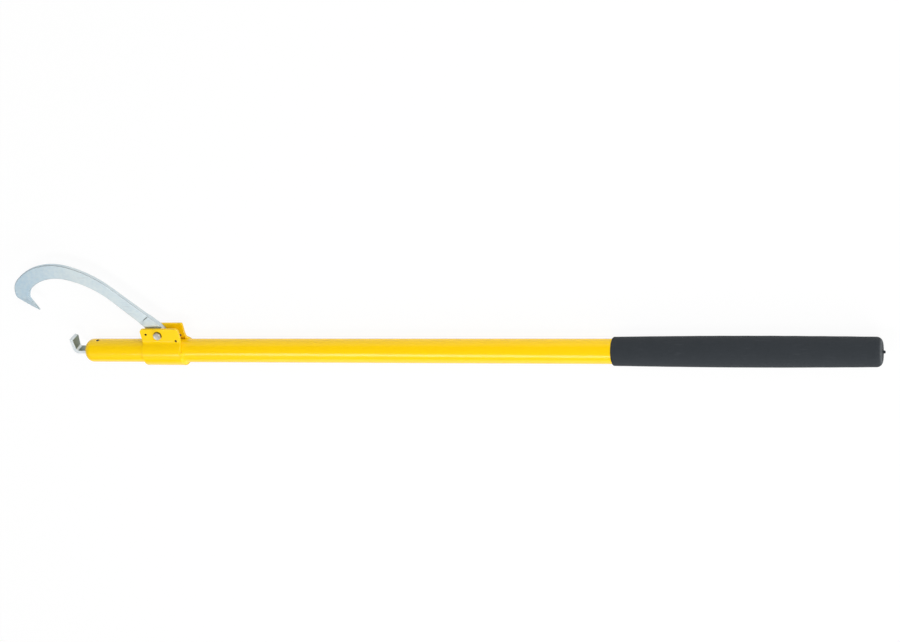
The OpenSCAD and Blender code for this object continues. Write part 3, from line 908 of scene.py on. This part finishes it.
def pivot_rings():
    """Bush, spacers, washer and nylon ring: turned rings about the pivot, each with its bore and outer
    radius, its two heights and the radius of its edges."""
    spacer_t, slip_r = 2 * MM, bush_r + fit
    ear_in = ear_gap / 2
    rings = (("pivot_bush_sleeve", "pivot_bush", bush_bore_r, bush_r, -ear_in, ear_in, 0.15 * MM),
             ("hook_spacer_near", "hook_spacers", slip_r, spacer_r, ear_in - spacer_t, ear_in, 0.3 * MM),
             ("hook_spacer_far", "hook_spacers", slip_r, spacer_r, -ear_in, spacer_t - ear_in, 0.3 * MM),
             ("nut_washer_plate", "nut_washer", bolt_hole_r, washer_r, washer_from, washer_to, 0.35 * MM),
             ("nut_insert_ring", "nut_insert", thread_bore_r, insert_r, insert_from, insert_to, 0.3 * MM))
    for name, node, bore_r, outer_r, low, high, edge_r in rings:
        ring = ring_piece(name, bore_r, outer_r, low, high, edge_r, "Z", pivot)
        if node == "nut_insert":
            dress(ring, nylon, "lever", node)
        else:
            dress(ring, bolt_zinc, "lever", node)


def grip():
    """Foam grip: a turned barrel r = end + swell * sin(pi t), a rolled lip, a rounded closed end with a
    painted highlight on its rim, and its pip. The skin is a hair uneven: slow waves run round and along it."""
    end_r, swell, lip_r = 18.3 * MM, 1.2 * MM, 2.2 * MM
    cap_r, cap_t = 7.5 * MM, 8 * MM
    pip_r, pip_h, pip_ease = 2 * MM, 3.2 * MM, 0.5 * MM
    end = pip_to - pip_h
    barrel_from, barrel_to = grip_from + lip_r, end - cap_r
    bore_r = tube_r + fit
    t = np.linspace(0, 1, 90)
    turn = np.linspace(0, pi / 2, 12)
    lip = np.stack([end_r - lip_r + lip_r * np.sin(turn), barrel_from - lip_r * np.cos(turn)], -1)[:-1]
    barrel = np.stack([end_r + swell * np.sin(pi * t), barrel_from + (barrel_to - barrel_from) * t], -1)
    cap = np.stack([end_r - cap_r + cap_r * np.cos(turn), barrel_to + cap_r * np.sin(turn)], -1)[1:]
    pip = [(pip_r + pip_ease, end), (pip_r, end + pip_ease / 2), (0.86 * pip_r, pip_to - pip_ease),
           (0.6 * pip_r, pip_to - pip_ease / 5), (0, pip_to)]
    inside = [(0, end - cap_t), (bore_r, end - cap_t), (bore_r, grip_from)]
    profile = np.concatenate([lip, barrel, cap, pip, inside])
    # Painted highlight on the closed end's rounded rim, peaking at this turn
    highlight_at, highlight_wide = radians(66), radians(28)
    rim_light = np.clip(1 - np.abs(turn[1:] - highlight_at) / highlight_wide, 0, 1)
    rim = np.concatenate([np.zeros(len(lip) + len(barrel)), rim_light, np.zeros(len(pip) + len(inside))])[:, None]
    angle = np.linspace(0, 2 * pi, 128, endpoint=False)
    radius, x = profile[:, 0, None], profile[:, 1, None]
    uneven = 0.05 * MM
    broad = np.sin(5 * angle + 60 * x) * np.sin(140 * x + 2 * np.sin(angle))
    narrow = 0.6 * np.sin(9 * angle - 210 * x)
    skin = radius + uneven * (broad + narrow) * np.clip((radius - bore_r) / (end_r - bore_r), 0, 1)
    grid = np.stack([x + 0 * skin, axis[1] + skin * np.cos(angle), axis[2] + skin * np.sin(angle)], -1)
    sleeve = dress(surface("grip_sleeve", grid, ring=True, edge=rim), foam, "lever", "grip")
    return sleeve


# Camera of the photograph: its place along the handle from the nose and away from the tube, and its turns
image_w = 900
focal_px = 1847.15
sensor_w = 36.0
camera_tilt = radians(32)
camera_away = 2254.52 * MM
camera_from_nose = 1308.80 * MM
camera_yaw = radians(18.973)
camera_pitch = radians(0.929)
camera_roll = radians(0.135)


def placed(x_axis, y_axis, z_axis, place):
    """Matrix of an object with these axes at a place."""
    turn = np.eye(4)
    turn[:3] = np.stack([x_axis, y_axis, z_axis, place], 1)
    return Matrix(turn.tolist())


def swung(first, second, angle):
    """Two directions turned in their own plane, the first towards the second:
    cos a * first + sin a * second, and cos a * second - sin a * first."""
    return cos(angle) * first + sin(angle) * second, cos(angle) * second - sin(angle) * first


def photo_camera():
    """Camera above the handle, leaning towards the hook's side, then turned by its yaw, pitch and roll."""
    right = np.array([1.0, 0, 0])
    look = np.array([0, -sin(camera_tilt), -cos(camera_tilt)])
    up = np.array([0, cos(camera_tilt), -sin(camera_tilt)])
    place = axis + [nose_x + camera_from_nose, 0, 0] - camera_away * look
    right, look = swung(right, look, camera_yaw)
    look, up = swung(look, up, camera_pitch)
    right, up = swung(right, up, camera_roll)
    data = bpy.data.cameras.new("photo_camera")
    data.sensor_width = sensor_w
    data.lens = focal_px * sensor_w / image_w
    camera = bpy.data.objects.new("photo_camera", data)
    camera.matrix_world = placed(right, up, -look, place)
    bpy.context.scene.collection.objects.link(camera)
    bpy.context.scene.camera = camera


def pale_floor():
    """White sweep: a flat disc whose rim curves up all round, as radius and height along a quarter circle.
    Camera, glossy and transmission rays see mostly plain white, and the rest takes the object's shadow."""
    flat_r, rim_r = 10.0, 3.5
    white_share = 0.92
    turn = np.linspace(0, pi / 2, 16)
    radius = np.concatenate([[0, 1, 3, 6], flat_r + rim_r * np.sin(turn)])
    height = np.concatenate([[0, 0, 0, 0], rim_r * (1 - np.cos(turn))])
    floor = turned("floor", np.stack([radius, height], -1), "Z", (0, 0, 0), loops=96)
    floor.data.shade_smooth()
    material = bpy.data.materials.new("pale_floor")
    material.use_nodes = True
    tree = material.node_tree
    tree.nodes.remove(tree.nodes["Principled BSDF"])
    rays = add(tree, "LightPath").outputs
    seen = combine(tree, "MAXIMUM", rays["Is Camera Ray"], rays["Is Glossy Ray"])
    seen = combine(tree, "MAXIMUM", seen, rays["Is Transmission Ray"])
    lit = add(tree, "BsdfDiffuse", Color=(0.90, 0.90, 0.90, 1))
    white = add(tree, "Emission", Color=(1, 1, 1, 1), Strength=1.0)
    both = tree.nodes.new("ShaderNodeMixShader")
    feed(tree, both.inputs[0], combine(tree, "MULTIPLY", seen, white_share))
    feed(tree, both.inputs[1], lit.outputs[0])
    feed(tree, both.inputs[2], white.outputs[0])
    feed(tree, tree.nodes["Material Output"].inputs["Surface"], both.outputs[0])
    floor.data.materials.append(material)


def softbox(name, place, aim, along, size, radiance):
    """Area light at a place, turned to a point, with its first side along a direction and a plain
    radiance: power = radiance * pi * area."""
    data = bpy.data.lights.new(name, "AREA")
    data.shape = "RECTANGLE"
    data.size, data.size_y = size
    data.energy = radiance * pi * size[0] * size[1]
    lamp = bpy.data.objects.new(name, data)
    back = unit(np.array(place, float) - np.array(aim, float))
    up = unit(np.cross(back, np.array(along, float)))
    lamp.matrix_world = placed(np.cross(up, back), up, back, place)
    bpy.context.scene.collection.objects.link(lamp)


def studio():
    """Soft studio: a strip overhead along the handle, a box for the hook's face, a large key over the grip
    end, a fill below it, a card in front, and a dim room. Each light has its place, its aim, the direction
    of its first side, its two sides and its radiance."""
    room_level = 0.12
    softbox("strip", (-0.65, -0.47, 1.8), (-0.4, -0.06, 0), (1, -0.605, 0), (1.35, 0.55), 6.6)
    softbox("hook_box", (-1.57, -1.01, 1.7), (-0.5, 0.0, 0), (1, 0, 0), (1.4, 1.2), 0.36)
    softbox("key", (1.5, 1.7, 2.3), (0.0, 0.0, 0), (1, 0, 0), (2.0, 2.6), 5.1)
    softbox("fill", (1.2, -1.6, 1.1), (-0.2, -0.06, 0), (1, 0.8, 0), (1.6, 1.2), 3.7)
    softbox("front_card", (-0.3, -2.4, 0.9), (-0.4, -0.06, 0), (1, 0, 0), (2.4, 1.4), 0.9)
    world = bpy.data.worlds.new("room")
    bpy.context.scene.world = world
    world.use_nodes = True
    room = world.node_tree.nodes["Background"]
    room.inputs["Color"].default_value = (1, 1, 1, 1)
    room.inputs["Strength"].default_value = room_level
    bpy.context.scene.view_settings.view_transform = "Standard"


photo_camera()
pale_floor()
studio()
handle_tube()
nose_plug()
toe_claw()
toe_pin()
hook_bracket()
weld_bead("weld_near", strap_to, 1, from_deg=68, to_deg=158, run=weld_leg)
weld_bead("weld_top", strap_to, 1, from_deg=-110, to_deg=-22, run=weld_run)
weld_bead("weld_front", strap_from, -1, from_deg=-150, to_deg=-60, run=weld_leg)
ear_weld()
swing_hook()
pivot_bolt()
pivot_nut()
pivot_rings()
grip()
